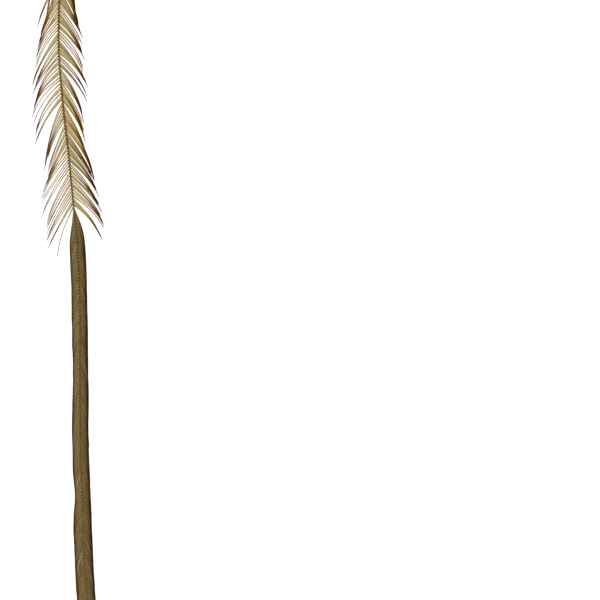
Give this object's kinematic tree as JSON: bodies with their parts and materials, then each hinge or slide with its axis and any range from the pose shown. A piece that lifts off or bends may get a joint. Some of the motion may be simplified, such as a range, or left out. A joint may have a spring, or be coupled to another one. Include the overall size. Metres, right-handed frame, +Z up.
{
  "type": "dry fly hackle feather",
  "caption": "Long narrow rooster hackle lying flat: a tapered shaft with open, pointed barb locks towards the quill and a narrow folded blade towards the tip.",
  "frame": {"origin": "centre of the box that the feather fills, on the surface that it lies on", "axes": "+Y along the feather towards the bare quill end, +X across it, +Z up from the surface"},
  "size_m": [0.01, 0.12, 0.0011],
  "materials": {
    "feather": "olive-dyed barbs, translucent tan beside the shaft and red-brown at the tips, with a soft keratin sheen"
  },
  "bodies": {
    "root": {"hackle_feather": "feather"}
  },
  "joints": []
}
